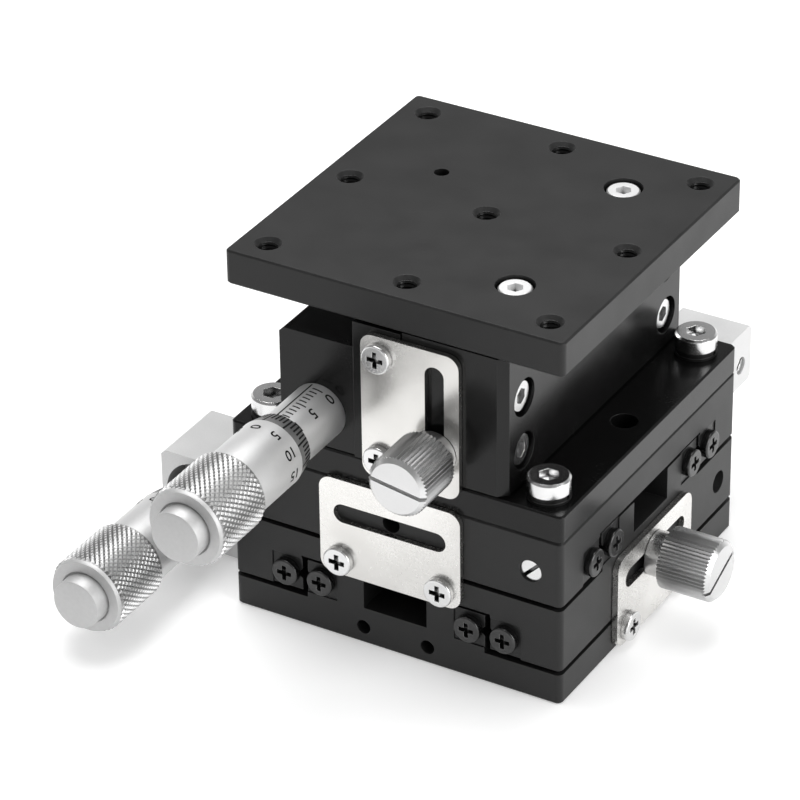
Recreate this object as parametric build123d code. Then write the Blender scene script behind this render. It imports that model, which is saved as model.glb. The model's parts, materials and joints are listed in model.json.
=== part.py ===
from build123d import *
from math import cos, pi, sin
import os

# Three-axis translation stage with a 60 mm table: two crossed roller slides, the second on the first at a
# right angle, and a wedge-driven vertical slide on top. Each has its own micrometer head.
# +Z is up, +X runs to the right along the front faces, +Y runs to the back.
# The origin is the centre of the base plate's underside. The vertical slide is fully lowered at rest.

# Plates
PLATE_SIZE = 60.0
CORNER_RADIUS = 1.0
EDGE_CHAMFER = 0.3
BASE_THICKNESS = 5.5
SLIDE_HEIGHT = 12.0
UPPER_EXTRA_THICKNESS = 0.5
RUNNING_GAP = 0.6
TABLE_THICKNESS = 6.0
LIFT_BASE_THICKNESS = 5.0
LIFT_HEIGHT = 25.0
LIFT_GAP = 0.4

# Crossed roller guides
RAIL_WIDTH = 5.5
RAIL_HEIGHT = 6.0
RAIL_GAP = 1.0
RAIL_END_INSET = 0.2
RAIL_OFFSET = 16.8
RAIL_ABOVE_BASE = 1.0
RAIL_SEAT_CLEARANCE = 0.02
RAIL_RELIEF = 0.6
ROLLER_DIAMETER = 1.9
ROLLER_LENGTH = 1.8
ROLLER_CLEARANCE = 0.05
ROLLER_PITCH = 5.5
SLIDE_ROLLERS = 7
LIFT_ROLLERS = 3
CAGE_THICKNESS = 0.5
CAGE_HEIGHT = 4.6
CAGE_WINDOW_CLEARANCE = 0.1

# Spring channel along each slide's raised centre
CHANNEL_WIDTH = 11.6
CHANNEL_FLOOR = 1.3

# Threaded holes on a square grid in the table and the base
GRID_PITCH = 25.0
GRID_HOLE_RADIUS = 1.65
GRID_HOLE_CHAMFER = 0.6
BASE_HOLE_DEPTH = 5.0
PIN_HOLE_RADIUS = 1.25
PIN_HOLE_DEPTH = 4.0
PIN_HOLE_X = -12.9
PIN_HOLE_Y = 8.3

# Screws: shank radius, head radius, head height
M2 = (1.0, 1.9, 2.0)
M3 = (1.5, 2.75, 3.0)
M4_LOW = (2.0, 3.5, 2.6)
END_SCREW = (0.95, 2.35, 1.3)
LOCK_SCREW = (1.2, 2.5, 1.2)

# Screw details, as shares of the head's radius or height
CAP_EDGE_SHARE = 0.1
SOCKET_RADIUS_SHARE = 0.5
SOCKET_DEPTH_SHARE = 0.5
PAN_ROUND_SHARE = 0.25
RECESS_LENGTH_SHARE = 1.15
RECESS_WIDTH_SHARE = 0.34
RECESS_DEPTH_SHARE = 0.75
RECESS_TAPER = 12.0

# Screw holes, seats and washers
HOLE_CLEARANCE = 0.05
COUNTERBORE_CLEARANCE = 0.15
WIDE_COUNTERBORE_CLEARANCE = 0.45
HEAD_RECESS = 0.4
END_SCREW_DEPTH = 4.5
SCREW_HOLE_SPARE = 0.5
WASHER_RADIUS = 3.55
WASHER_THICKNESS = 0.4
SPRING_WASHER_RADIUS = 3.4
SPRING_WASHER_THICKNESS = 0.8
SPRING_WASHER_SPLIT = 0.8
CORNER_SCREW_INSET = 5.0
SET_SCREW_RADIUS = 1.9
SET_SCREW_INSET = 5.5
SET_SCREW_HEIGHT = 11.6
SET_SCREW_SLOT = 0.6
SET_SCREW_SLOT_DEPTH = 0.9
SET_SCREW_TURN = 45.0
LOWER_SET_SCREW_RECESS = 2.0
UPPER_SET_SCREW_RECESS = 0.4

# Micrometer heads, measured from the shoulder that sits against the holder
BARREL_RADIUS = 4.8
BARREL_SHOWN = 11.3
BARREL_OVERLAP = 14.0
STEM_RADIUS = 4.0
STEM_LENGTH = 4.8
THIMBLE_RADIUS = 5.9
THIMBLE_BORE_RADIUS = 4.95
THIMBLE_EDGE_RADIUS = 5.25
THIMBLE_TAPER = 3.4
SLEEVE_LENGTH = 14.9
GRIP_RADIUS = 6.8
GRIP_LENGTH = 12.9
GRIP_CHAMFER = 0.6
THIMBLE_BACK_WALL = 6.0
CAP_RADIUS = 4.25
CAP_LENGTH = 2.8
SPINDLE_RADIUS = 2.4
SPINDLE_REACH = 22.0
SPINDLE_TAIL_RADIUS = 1.8
SPINDLE_TAIL_LENGTH = 4.0
SPINDLE_TIP_CHAMFER = 0.35
BORE_CLEARANCE = 0.06
TIP_CLEARANCE = 0.03

# Micrometer holder and thrust block of a slide, at its left side
HOLDER_STANDOUT = 20.4
HOLDER_FRONT_INSET = 10.0
HOLDER_LENGTH = 14.4
HOLDER_TOP = 17.8
HOLDER_BOTTOM = 0.8
HOLDER_CLEARANCE = 0.3
HOLDER_CORNER = 0.8
HEAD_STANDOUT = 13.3
HEAD_HEIGHT = 10.5
POCKET_DEPTH = 5.4
POCKET_RADIUS = 6.2
HOLDER_SCREW_HEIGHT = 3.05
HOLDER_SCREW_FROM_END = 3.2
THRUST_STANDOUT = 17.0
THRUST_FAR_INSET = 5.5
THRUST_LENGTH = 12.5
THRUST_TOP = 16.8
THRUST_BOTTOM = 6.5
THRUST_PIN_RADIUS = 2.5
THRUST_PIN_SEAT = 7.0
THRUST_PIN_CHAMFER = 0.5
THRUST_SCREW_HEIGHT = 14.6
THRUST_SCREW_FROM_END = 3.0
THRUST_SET_SCREW_LENGTH = 3.5
SIDE_SCREW_DEPTH = 5.0
CORNER_SCREW_DEPTH = 4.0

# Lock plates and knobs
LOCK_PLATE_LENGTH = 25.6
LOCK_PLATE_THICKNESS = 1.0
LOCK_PLATE_CORNER = 2.2
LOCK_PLATE_GAP = 0.1
LOCK_SLOT_LENGTH = 20.4
LOCK_SLOT_WIDTH = 3.4
LOCK_SCREW_SPACING = 18.4
LOCK_SCREW_DEPTH = 2.8
LOCK_CENTRE = -0.2
LOCK_SCREW_HEIGHT = 3.6
LOCK_SLOT_HEIGHT = 12.4
LOWER_LOCK_BOTTOM = 0.7
LOWER_LOCK_TOP = 17.3
UPPER_LOCK_BOTTOM = 0.8
UPPER_LOCK_TOP = 18.6
KNOB_PLACE = -0.5
SIDE_KNOB_TURN = 23.0
KNOB_RADIUS = 5.2
KNOB_LENGTH = 9.2
KNOB_TEETH = 50
KNOB_TOOTH_DEPTH = 0.28
KNOB_CROWN_CHAMFER = 0.8
KNOB_COLLAR_RADIUS = 3.8
KNOB_COLLAR_LENGTH = 2.8
KNOB_SLOT_WIDTH = 0.7
KNOB_SLOT_DEPTH = 1.0
KNOB_THREAD_RADIUS = 1.5
KNOB_THREAD_DEPTH = 4.0
KNOB_STANDOFF = 0.1

# Vertical slide, with heights above its base plate
GUIDE_LEFT = -6.9
SEAM = 1.8
SEAM_GAP = 0.4
LIFT_INSET = 10.0
LIFT_CHAMFER = 1.4
LIFT_RAIL_INSET = 9.4
LIFT_RAIL_END_GAP = 0.5
LIFT_SCREW_LOW_HEIGHT = 6.0
LIFT_SCREW_HIGH_HEIGHT = 15.6
LIFT_SCREW_RECESS = 0.6
GUIDE_SCREW_LOW_HEIGHT = 5.5
GUIDE_SCREW_HIGH_HEIGHT = 11.8
GUIDE_FOOT_X = -3.8
GUIDE_FOOT_INSET = 20.0
RAIL_SCREW_DEPTH = 2.6
TABLE_SCREW_FROM_SIDE = 5.0
TABLE_SCREW_INSET = 12.2
LONG_SCREW_DEPTH = 8.0
LIFT_HOLDER_INSET = 9.7
LIFT_HOLDER_LENGTH = 14.0
LIFT_HOLDER_HEIGHT = 20.0
LIFT_HEAD_FROM_SIDE = 7.0
LIFT_HEAD_HEIGHT = 6.6
LIFT_HOLDER_SCREW_HEIGHT = 16.6
LIFT_HOLDER_SCREW_FROM_END = 3.8
LIFT_HOLDER_SCREW_DEPTH = 4.2
WEDGE_FROM_HOLDER_SIDE = 1.3
WEDGE_GUIDE_GAP = 0.6
WEDGE_BACK_INSET = 10.0
WEDGE_HEIGHT = 15.0
WEDGE_SLOPE_RUN = 13.5
WEDGE_GROOVE_DEPTH = 0.8
WEDGE_CLEARANCE = 0.08
GROOVE_SPARE = 2.0
RAMP_FROM_SLOPE = 2.5
RAMP_BACK_INSET = 4.0
RAMP_UNDERSIDE_HEIGHT = 2.2
RAMP_SCREW_INSET = 2.9
RAMP_SCREW_FROM_BACK = 3.2
RAMP_SCREW_DEPTH = 4.2
LIFT_LOCK_LEFT = -4.9
LIFT_LOCK_RIGHT = 12.5
LIFT_LOCK_SLOT_X = 8.2
LIFT_LOCK_SCREW_X = -1.7
LIFT_LOCK_HEIGHT = 11.0
LIFT_KNOB_HEIGHT = 6.0
LIFT_KNOB_TURN = 81.0

# Small holes in the side faces
FACE_HOLE_RADIUS = 1.25
FACE_HOLE_DEPTH = 5.0
BASE_FACE_HOLE_SPACING = 11.8
BASE_FACE_HOLE_HEIGHT = 3.1
LIFT_BASE_HOLE_RADIUS = 2.25

# Levels and places that follow from the sizes above
HALF = PLATE_SIZE / 2
MIDDLE_BOTTOM = BASE_THICKNESS + RUNNING_GAP
MIDDLE_TOP = BASE_THICKNESS + SLIDE_HEIGHT
UPPER_TOP = MIDDLE_TOP + SLIDE_HEIGHT + UPPER_EXTRA_THICKNESS
LIFT_BASE_TOP = UPPER_TOP + LIFT_BASE_THICKNESS
TABLE_BOTTOM = LIFT_BASE_TOP + LIFT_HEIGHT
TABLE_TOP = TABLE_BOTTOM + TABLE_THICKNESS
RAIL_LENGTH = PLATE_SIZE - 2 * RAIL_END_INSET
RAIL_BOTTOM = BASE_THICKNESS + RAIL_ABOVE_BASE
RAIL_TOP = RAIL_BOTTOM + RAIL_HEIGHT
RAIL_CENTRE_HEIGHT = (RAIL_BOTTOM + RAIL_TOP) / 2
RAIL_NEAR = RAIL_GAP / 2
RAIL_FAR = RAIL_GAP / 2 + RAIL_WIDTH
RAIL_SEAT = RAIL_FAR + RAIL_SEAT_CLEARANCE
RAIL_MIDDLE = (RAIL_NEAR + RAIL_FAR) / 2
HOLDER_OUT = HALF + HOLDER_STANDOUT
HOLDER_FRONT = HOLDER_FRONT_INSET - HALF
HOLDER_BACK = HOLDER_FRONT + HOLDER_LENGTH
HEAD_OUT = HALF + HEAD_STANDOUT
THRUST_OUT = HALF + THRUST_STANDOUT
THRUST_FAR = HALF - THRUST_FAR_INSET
THRUST_NEAR = THRUST_FAR - THRUST_LENGTH
LIFT_RAIL_OFFSET = HALF - LIFT_RAIL_INSET
LIFT_RAIL_LENGTH = LIFT_HEIGHT - 2 * LIFT_RAIL_END_GAP
TABLE_SCREW_Y = HALF - TABLE_SCREW_INSET
GUIDE_FOOT_Y = HALF - GUIDE_FOOT_INSET
SET_SCREW_PLACE = HALF - SET_SCREW_INSET
CORNER_SCREW_PLACE = HALF - CORNER_SCREW_INSET
CORNER_PLACES = [(x, y) for x in (-CORNER_SCREW_PLACE, CORNER_SCREW_PLACE)
                 for y in (-CORNER_SCREW_PLACE, CORNER_SCREW_PLACE)]
GRID_CORNERS = [(x, y) for x in (-GRID_PITCH, GRID_PITCH) for y in (-GRID_PITCH, GRID_PITCH)]
GRID_ALL = [(x, y) for x in (-GRID_PITCH, 0, GRID_PITCH) for y in (-GRID_PITCH, 0, GRID_PITCH)]
LIFT_LEFT = SEAM + SEAM_GAP / 2
GUIDE_RIGHT = SEAM - SEAM_GAP / 2
LIFT_RIGHT = HALF - LIFT_INSET
LIFT_SCREW_LOW = LIFT_BASE_TOP + LIFT_SCREW_LOW_HEIGHT
LIFT_SCREW_HIGH = LIFT_BASE_TOP + LIFT_SCREW_HIGH_HEIGHT
GUIDE_SCREW_LOW = LIFT_BASE_TOP + GUIDE_SCREW_LOW_HEIGHT
GUIDE_SCREW_HIGH = LIFT_BASE_TOP + GUIDE_SCREW_HIGH_HEIGHT
LIFT_HOLDER_TOP = LIFT_BASE_TOP + LIFT_HOLDER_HEIGHT
LIFT_HEAD_Z = LIFT_BASE_TOP + LIFT_HEAD_HEIGHT
LIFT_HOLDER_SCREW_Z = LIFT_BASE_TOP + LIFT_HOLDER_SCREW_HEIGHT
WEDGE_TOP = LIFT_BASE_TOP + WEDGE_HEIGHT
RAMP_BOTTOM = LIFT_BASE_TOP + RAMP_UNDERSIDE_HEIGHT
LIFT_LOCK_Z = LIFT_BASE_TOP + LIFT_LOCK_HEIGHT
LIFT_KNOB_Z = LIFT_BASE_TOP + LIFT_KNOB_HEIGHT
TABLE_SCREW_X = LIFT_RIGHT - TABLE_SCREW_FROM_SIDE
LIFT_HOLDER_LEFT = LIFT_HOLDER_INSET - HALF
LIFT_HOLDER_BACK = LIFT_HOLDER_LENGTH - HALF
LIFT_HEAD_X = LIFT_HOLDER_LEFT + LIFT_HEAD_FROM_SIDE
WEDGE_LEFT = LIFT_HOLDER_LEFT + WEDGE_FROM_HOLDER_SIDE
WEDGE_RIGHT = GUIDE_LEFT - WEDGE_GUIDE_GAP
WEDGE_FRONT = -HALF + SPINDLE_REACH + TIP_CLEARANCE
WEDGE_BACK = HALF - WEDGE_BACK_INSET
WEDGE_SLOPE_START = WEDGE_BACK - WEDGE_SLOPE_RUN
WEDGE_FLOOR = LIFT_BASE_TOP - WEDGE_GROOVE_DEPTH
RAMP_FRONT = WEDGE_SLOPE_START + RAMP_FROM_SLOPE
RAMP_BACK = HALF - RAMP_BACK_INSET

# Turns the lower slide's parts into the second slide's: a quarter turn clockwise, one slide height up
SECOND_SLIDE = Pos(0, 0, SLIDE_HEIGHT) * Rot(0, 0, -90)
OTHER_SIDE = Rot(0, 0, 180)


def block(x0, x1, y0, y1, z0, z1):
    """A box from its limits on the three axes."""
    return Pos((x0 + x1) / 2, (y0 + y1) / 2, (z0 + z1) / 2) * Box(x1 - x0, y1 - y0, z1 - z0)


def disc(radius, height):
    """A round bar standing on Z = 0."""
    return Cylinder(radius, height, align=(Align.CENTER, Align.CENTER, Align.MIN))


def rod(radius, length, start, along):
    """A round bar from a start point along a direction."""
    return Plane(origin=start, z_dir=along) * disc(radius, length)


def plate(bottom, top, chamfer_bottom, chamfer_top):
    """A square plate with rounded vertical corners and thin chamfers on the edges asked for."""
    solid = Pos(0, 0, bottom) * extrude(RectangleRounded(PLATE_SIZE, PLATE_SIZE, CORNER_RADIUS), top - bottom)
    if chamfer_top:
        solid = chamfer(solid.edges().group_by(Axis.Z)[-1], EDGE_CHAMFER)
    if chamfer_bottom:
        solid = chamfer(solid.edges().group_by(Axis.Z)[0], EDGE_CHAMFER)
    return solid


def both_sides(shape):
    """A shape and its copy turned half round the upright axis."""
    return [shape, OTHER_SIDE * shape]


def fused(shapes):
    """All shapes as one."""
    result = shapes[0]
    for shape in shapes[1:]:
        result += shape
    return result


def screw_hole(size, depth, start, along, head_depth=0.0, clearance=COUNTERBORE_CLEARANCE):
    """The hole for a screw whose seat is head_depth below a face: shank hole and counterbore."""
    shank, head, _ = size
    hole = rod(shank + HOLE_CLEARANCE, head_depth + depth + SCREW_HOLE_SPARE, start, along)
    if head_depth > 0:
        hole += rod(head + clearance, head_depth, start, along)
    return hole


def cap_screw(size, depth, start, along, head_depth=0.0):
    """A socket head cap screw seated head_depth below a face, its shank going depth further along."""
    shank, head, height = size
    body = chamfer(disc(head, height).edges().group_by(Axis.Z)[-1], head * CAP_EDGE_SHARE)
    socket_floor = height * (1 - SOCKET_DEPTH_SHARE)
    socket = Pos(0, 0, socket_floor) * extrude(RegularPolygon(head * SOCKET_RADIUS_SHARE, 6), height)
    body = body - socket + Pos(0, 0, -depth) * disc(shank, depth)
    seat = Vector(start) + Vector(along).normalized() * head_depth
    return Plane(origin=seat, z_dir=-Vector(along)) * body


def cross_screw(size, depth, start, along):
    """A pan head screw with a cross recess, seated on a face, its shank going depth further along."""
    shank, head, height = size
    body = fillet(disc(head, height).edges().group_by(Axis.Z)[-1], height * PAN_ROUND_SHARE)
    arm = head * RECESS_LENGTH_SHARE
    width = head * RECESS_WIDTH_SHARE
    cross = Rectangle(arm, width) + Rectangle(width, arm)
    recess = extrude(cross, -height * RECESS_DEPTH_SHARE, taper=RECESS_TAPER)
    body = body - Pos(0, 0, height) * recess + Pos(0, 0, -depth) * disc(shank, depth)
    return Plane(origin=start, z_dir=-Vector(along)) * body


def set_screw(radius, length, start, along):
    """A headless screw whose slotted end is at the start point."""
    slot = block(-radius, radius, -SET_SCREW_SLOT / 2, SET_SCREW_SLOT / 2, 0, SET_SCREW_SLOT_DEPTH)
    body = disc(radius, length) - Rot(0, 0, SET_SCREW_TURN) * slot
    return Plane(origin=start, z_dir=along) * body


def rail(length, end_holes):
    """One rail of a guide along Y, on the +X side of X = 0, with its V groove facing X = 0."""
    groove = (ROLLER_DIAMETER / 2 + ROLLER_CLEARANCE) * 2 ** 0.5 - RAIL_NEAR
    profile = Polyline(
        (RAIL_NEAR, -RAIL_HEIGHT / 2),
        (RAIL_FAR, -RAIL_HEIGHT / 2),
        (RAIL_FAR, RAIL_HEIGHT / 2),
        (RAIL_NEAR, RAIL_HEIGHT / 2),
        (RAIL_NEAR, groove),
        (RAIL_NEAR + groove, 0),
        (RAIL_NEAR, -groove),
        close=True)
    bar = extrude(Plane.XZ * make_face(profile), length / 2, both=True)
    if end_holes:
        for end in (-1, 1):
            bar -= screw_hole(END_SCREW, END_SCREW_DEPTH, (RAIL_MIDDLE, end * length / 2, 0), (0, -end, 0))
    return bar


def roller_cage(count):
    """A cage strip along Y with its rollers, each turned a right angle from the one before."""
    strip = Box(CAGE_THICKNESS, count * ROLLER_PITCH, CAGE_HEIGHT)
    window_length = ROLLER_DIAMETER + 2 * CAGE_WINDOW_CLEARANCE
    window_height = (ROLLER_DIAMETER + ROLLER_LENGTH) / 2 ** 0.5 + 2 * CAGE_WINDOW_CLEARANCE
    rollers = []
    for i in range(count):
        y = (i - (count - 1) / 2) * ROLLER_PITCH
        tilt = 45 if i % 2 else -45
        strip -= Pos(0, y, 0) * Box(CAGE_THICKNESS * 2, window_length, window_height)
        rollers.append(Pos(0, y, 0) * Rot(0, tilt, 0) * Cylinder(ROLLER_DIAMETER / 2, ROLLER_LENGTH))
    return [strip] + rollers


def micrometer_head():
    """Barrel, spindle and thimble: shoulder at Z = 0, spindle towards +Z, thimble towards -Z."""
    barrel_length = BARREL_SHOWN + BARREL_OVERLAP
    bore = SPINDLE_RADIUS + BORE_CLEARANCE
    barrel = Pos(0, 0, -barrel_length) * disc(BARREL_RADIUS, barrel_length) + disc(STEM_RADIUS, STEM_LENGTH)
    barrel -= Pos(0, 0, -barrel_length) * disc(bore, barrel_length + STEM_LENGTH)

    edge = -BARREL_SHOWN
    grip = edge - SLEEVE_LENGTH
    end = grip - GRIP_LENGTH
    inner_end = end + THIMBLE_BACK_WALL
    spindle = Pos(0, 0, inner_end) * disc(SPINDLE_RADIUS, SPINDLE_REACH - inner_end)
    spindle = chamfer(spindle.edges().group_by(Axis.Z)[-1], SPINDLE_TIP_CHAMFER)
    spindle += Pos(0, 0, inner_end - SPINDLE_TAIL_LENGTH) * disc(SPINDLE_TAIL_RADIUS, SPINDLE_TAIL_LENGTH)

    outline = Polyline(
        (0, end - CAP_LENGTH),
        (CAP_RADIUS, end - CAP_LENGTH),
        (CAP_RADIUS, end),
        (GRIP_RADIUS - GRIP_CHAMFER, end),
        (GRIP_RADIUS, end + GRIP_CHAMFER),
        (GRIP_RADIUS, grip - GRIP_CHAMFER),
        (THIMBLE_RADIUS, grip),
        (THIMBLE_RADIUS, edge - THIMBLE_TAPER),
        (THIMBLE_EDGE_RADIUS, edge),
        (0, edge),
        close=True)
    thimble = revolve(Plane.XZ * make_face(outline), Axis.Z)
    thimble -= Pos(0, 0, inner_end) * disc(THIMBLE_BORE_RADIUS, edge - inner_end)
    tail_room = SPINDLE_TAIL_LENGTH + BORE_CLEARANCE
    thimble -= Pos(0, 0, inner_end - tail_room) * disc(SPINDLE_TAIL_RADIUS + BORE_CLEARANCE, tail_room)
    return {"barrel": barrel, "spindle": spindle, "thimble": thimble}


def lock_plate(bottom, top, slot_row, screw_row):
    """A lock plate standing on Z = 0, its long side along X, with bottom, top, slot and screws along Y."""
    sheet = RectangleRounded(LOCK_PLATE_LENGTH, top - bottom, LOCK_PLATE_CORNER)
    outline = Pos(0, (bottom + top) / 2) * sheet
    outline -= Pos(0, slot_row) * SlotOverall(LOCK_SLOT_LENGTH, LOCK_SLOT_WIDTH)
    for x in (-LOCK_SCREW_SPACING / 2, LOCK_SCREW_SPACING / 2):
        outline -= Pos(x, screw_row) * Circle(LOCK_SCREW[0] + HOLE_CLEARANCE)
    return extrude(outline, LOCK_PLATE_THICKNESS)


def lock_screws(screw_row):
    """The two screws of a lock plate in the plate's frame, and the holes that they need behind it."""
    depth = LOCK_PLATE_THICKNESS + LOCK_PLATE_GAP + LOCK_SCREW_DEPTH
    screws = []
    holes = []
    for x in (-LOCK_SCREW_SPACING / 2, LOCK_SCREW_SPACING / 2):
        screws.append(cross_screw(LOCK_SCREW, depth, (x, screw_row, LOCK_PLATE_THICKNESS), (0, 0, -1)))
        holes.append(screw_hole(LOCK_SCREW, LOCK_SCREW_DEPTH, (x, screw_row, -LOCK_PLATE_GAP), (0, 0, -1)))
    return screws, holes


def lock_knob():
    """A knurled thumbscrew in a lock plate's frame: collar just off the plate, thread through its slot."""
    points = []
    for i in range(KNOB_TEETH * 2):
        radius = KNOB_RADIUS - (KNOB_TOOTH_DEPTH if i % 2 else 0)
        angle = pi * i / KNOB_TEETH
        points.append((radius * cos(angle), radius * sin(angle)))
    crown = disc(KNOB_RADIUS, KNOB_LENGTH)
    crown = chamfer(crown.edges().group_by(Axis.Z)[-1], KNOB_CROWN_CHAMFER)
    head = extrude(make_face(Polyline(*points, close=True)), KNOB_LENGTH) & crown
    slot_floor = KNOB_LENGTH - KNOB_SLOT_DEPTH
    slot_side = KNOB_SLOT_WIDTH / 2
    head -= block(-KNOB_RADIUS, KNOB_RADIUS, -slot_side, slot_side, slot_floor, KNOB_LENGTH)
    start = LOCK_PLATE_THICKNESS + KNOB_STANDOFF
    thread = start + LOCK_PLATE_GAP + KNOB_THREAD_DEPTH
    collar = Pos(0, 0, start) * disc(KNOB_COLLAR_RADIUS, KNOB_COLLAR_LENGTH)
    shank = Pos(0, 0, start - thread) * disc(KNOB_THREAD_RADIUS, thread)
    return Pos(0, 0, start + KNOB_COLLAR_LENGTH) * head + collar + shank


def knob_hole(x, y):
    """The threaded hole behind a lock plate that a knob's thread goes into."""
    depth = KNOB_THREAD_DEPTH + SCREW_HOLE_SPARE
    return rod(KNOB_THREAD_RADIUS + BORE_CLEARANCE, depth, (x, y, -LOCK_PLATE_GAP), (0, 0, -1))


def slide_rails(outer):
    """Both inner or both outer rails of the lower slide."""
    bar = rail(RAIL_LENGTH, True)
    if not outer:
        bar = OTHER_SIDE * bar
    return both_sides(Pos(RAIL_OFFSET, 0, RAIL_CENTRE_HEIGHT) * bar)


def slide_end_screws(outer):
    """The four black screws in the ends of the lower slide's inner or outer rails."""
    out = RAIL_OFFSET + (RAIL_MIDDLE if outer else -RAIL_MIDDLE)
    screws = []
    for side in (-1, 1):
        for end in (-1, 1):
            start = (side * out, end * RAIL_LENGTH / 2, RAIL_CENTRE_HEIGHT)
            screws.append(cross_screw(END_SCREW, END_SCREW_DEPTH, start, (0, -end, 0)))
    return screws


def slide_cages():
    """Both roller cages of the lower slide."""
    cage = roller_cage(SLIDE_ROLLERS)
    return [shape for piece in cage for shape in both_sides(Pos(RAIL_OFFSET, 0, RAIL_CENTRE_HEIGHT) * piece)]


def raised_centre():
    """The raised centre of the lower slide, which its inner rails sit against, without its spring channel."""
    land = RAIL_OFFSET - RAIL_SEAT
    step = RAIL_OFFSET - RAIL_NEAR
    centre = block(-land, land, -HALF, HALF, BASE_THICKNESS, RAIL_TOP)
    return centre + block(-step, step, -HALF, HALF, BASE_THICKNESS, RAIL_BOTTOM - RAIL_SEAT_CLEARANCE)


def spring_channel():
    """The channel cut along the raised centre."""
    side = CHANNEL_WIDTH / 2
    return block(-side, side, -HALF, HALF, BASE_THICKNESS + CHANNEL_FLOOR, RAIL_TOP)


def carriage(top, chamfer_top):
    """The carriage of the lower slide: a slab with two side walls that its outer rails sit against."""
    seat = RAIL_OFFSET + RAIL_SEAT
    relief = RAIL_OFFSET + RAIL_NEAR
    body = plate(MIDDLE_BOTTOM, top, True, chamfer_top)
    body -= block(-seat, seat, -HALF, HALF, MIDDLE_BOTTOM, RAIL_TOP + RAIL_SEAT_CLEARANCE)
    return body - block(-relief, relief, -HALF, HALF, MIDDLE_BOTTOM, RAIL_TOP + RAIL_RELIEF)


def holder_screw_starts():
    """Where the screws of the lower slide's micrometer holder enter it."""
    rows = (HOLDER_FRONT + HOLDER_SCREW_FROM_END, HOLDER_BACK - HOLDER_SCREW_FROM_END)
    return [(-HOLDER_OUT, y, HOLDER_SCREW_HEIGHT) for y in rows]


def thrust_screw_starts():
    """Where the screws of the lower slide's thrust block enter it."""
    rows = (THRUST_NEAR + THRUST_SCREW_FROM_END, THRUST_FAR - THRUST_SCREW_FROM_END)
    return [(-THRUST_OUT, y, THRUST_SCREW_HEIGHT) for y in rows]


def side_screw_depth(out):
    """How far a side screw goes past its seat: through the block and into the plate."""
    return out - M2[2] - HEAD_RECESS - HALF + SIDE_SCREW_DEPTH


def side_screws(starts, out):
    """The cap screws that hold a block to the lower slide's left side."""
    depth = side_screw_depth(out)
    return [cap_screw(M2, depth, start, (1, 0, 0), M2[2] + HEAD_RECESS) for start in starts]


def side_screw_holes(starts, out):
    """The holes for these screws, through the block and into the plate."""
    depth = side_screw_depth(out)
    return fused([screw_hole(M2, depth, start, (1, 0, 0), M2[2] + HEAD_RECESS) for start in starts])


def slide_holder():
    """The block at the lower slide's left side that holds its micrometer head."""
    body = block(-HOLDER_OUT, -HALF, HOLDER_FRONT, HOLDER_BACK, HOLDER_BOTTOM, HOLDER_TOP)
    body = chamfer(body.edges().filter_by(Axis.Y).group_by(Axis.X)[0], HOLDER_CORNER)
    body -= block(-HALF - HOLDER_CLEARANCE, -HALF, HOLDER_FRONT, HOLDER_BACK, BASE_THICKNESS, HOLDER_TOP)
    start = (-HEAD_OUT, HOLDER_FRONT, HEAD_HEIGHT)
    body -= rod(POCKET_RADIUS, POCKET_DEPTH, start, (0, 1, 0))
    body -= rod(STEM_RADIUS + RAIL_SEAT_CLEARANCE, HOLDER_BACK - HOLDER_FRONT, start, (0, 1, 0))
    return body - side_screw_holes(holder_screw_starts(), HOLDER_OUT)


def slide_thrust_block():
    """The block on the lower slide's carriage that the spindle pushes."""
    body = block(-THRUST_OUT, -HALF, THRUST_NEAR, THRUST_FAR, THRUST_BOTTOM, THRUST_TOP)
    body = chamfer(body.edges().filter_by(Axis.Y).group_by(Axis.X)[0], HOLDER_CORNER)
    start = (-HEAD_OUT, THRUST_NEAR, HEAD_HEIGHT)
    body -= rod(THRUST_PIN_RADIUS + RAIL_SEAT_CLEARANCE, THRUST_PIN_SEAT, start, (0, 1, 0))
    far = (-HEAD_OUT, THRUST_FAR, HEAD_HEIGHT)
    body -= rod(M3[0] + HOLE_CLEARANCE, THRUST_FAR - THRUST_NEAR, far, (0, -1, 0))
    return body - side_screw_holes(thrust_screw_starts(), THRUST_OUT)


def slide_thrust_pin():
    """The pin between the spindle's tip and the thrust block."""
    tip = HOLDER_FRONT + POCKET_DEPTH + SPINDLE_REACH + TIP_CLEARANCE
    length = THRUST_NEAR + THRUST_PIN_SEAT - tip
    pin = disc(THRUST_PIN_RADIUS, length)
    pin = chamfer(pin.edges().group_by(Axis.Z)[0], THRUST_PIN_CHAMFER)
    return Plane(origin=(-HEAD_OUT, tip, HEAD_HEIGHT), z_dir=(0, 1, 0)) * pin


def slide_thrust_screws():
    """The screws of the lower slide's thrust block: two to the carriage and one behind the pin."""
    far = (-HEAD_OUT, THRUST_FAR - HEAD_RECESS, HEAD_HEIGHT)
    behind = set_screw(M3[0], THRUST_SET_SCREW_LENGTH, far, (0, -1, 0))
    return side_screws(thrust_screw_starts(), THRUST_OUT) + [behind]


def slide_head():
    """The lower slide's micrometer head in its place."""
    place = Plane(origin=(-HEAD_OUT, HOLDER_FRONT + POCKET_DEPTH, HEAD_HEIGHT), z_dir=(0, 1, 0))
    return {name: place * shape for name, shape in micrometer_head().items()}


def slide_preload_screw(recess):
    """The slotted screw that presses the outer rail of the lower slide, sunk in its right side face."""
    length = HALF - RAIL_OFFSET - RAIL_SEAT - recess
    return set_screw(SET_SCREW_RADIUS, length, (HALF - recess, SET_SCREW_PLACE, SET_SCREW_HEIGHT), (-1, 0, 0))


def slide_preload_hole():
    """The hole of this screw, through the carriage's side wall."""
    depth = HALF - RAIL_OFFSET - RAIL_SEAT
    start = (HALF, SET_SCREW_PLACE, SET_SCREW_HEIGHT)
    return rod(SET_SCREW_RADIUS + HOLE_CLEARANCE, depth, start, (-1, 0, 0))


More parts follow.
